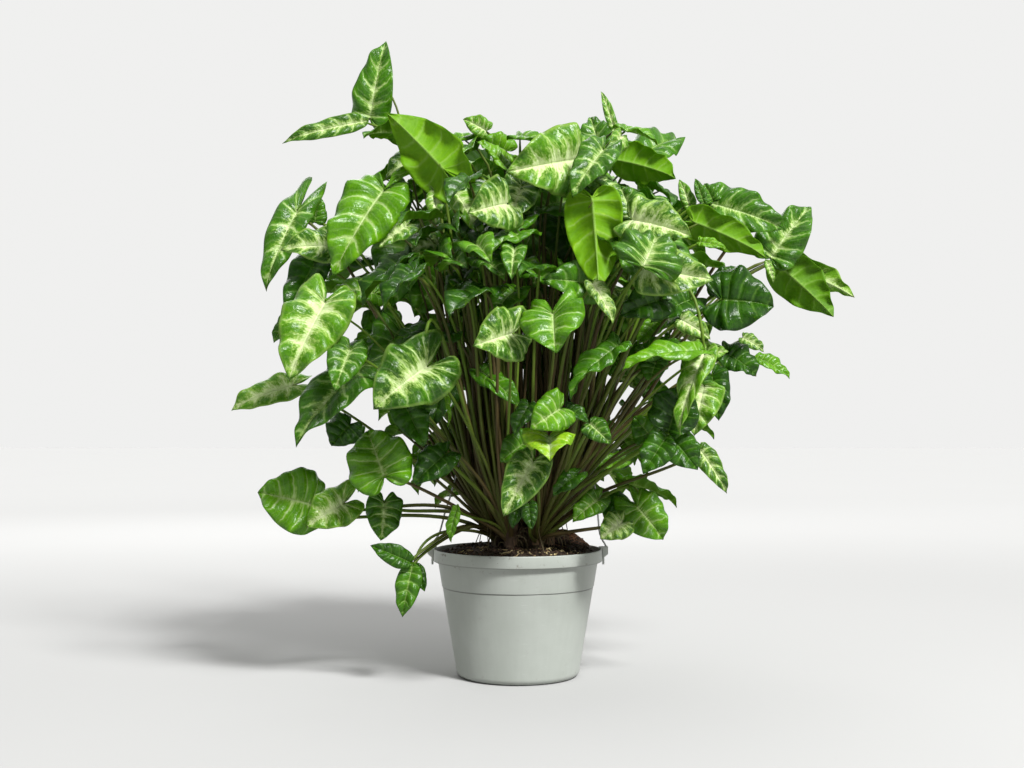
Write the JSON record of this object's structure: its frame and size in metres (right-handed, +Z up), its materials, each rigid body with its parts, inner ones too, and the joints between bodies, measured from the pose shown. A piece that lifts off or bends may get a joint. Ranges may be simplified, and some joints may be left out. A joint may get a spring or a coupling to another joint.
{
  "type": "potted arrowhead plant",
  "caption": "Bushy arrowhead plant with variegated leaves, growing from dark soil in a round tapered hanging pot with wire hanger legs, rim clips and a hook.",
  "frame": {"origin": "centre of the pot's underside, on the surface that it stands on", "axes": "+Z up out of the pot, -Y towards the front of the plant, +X to the right of that view"},
  "size_m": [0.7341, 0.5219, 0.7543],
  "materials": {
    "pot_plastic": "satin moulded plastic, pale grey",
    "potting_soil": "moist, crumbly, dark brown",
    "galvanised_wire": "dull galvanised",
    "clip_plastic": "matt grey",
    "leaf_green": "glossy green leaf"
  },
  "bodies": {
    "root": {"pot": "pot_plastic", "soil": "potting_soil", "hanger_leg_left": "galvanised_wire", "hanger_leg_right": "galvanised_wire", "hanger_leg_rear": "galvanised_wire", "hanger_sleeve": "galvanised_wire", "hanger_hook": "galvanised_wire", "rim_clip_left": "clip_plastic", "rim_clip_right": "clip_plastic", "rim_clip_rear": "clip_plastic", "shoot_middle": "leaf_green", "shoot_right": "leaf_green", "shoot_rear_right": "leaf_green", "shoot_rear_left": "leaf_green", "shoot_left": "leaf_green", "shoot_front_left": "leaf_green", "shoot_front_right": "leaf_green"}
  },
  "joints": []
}
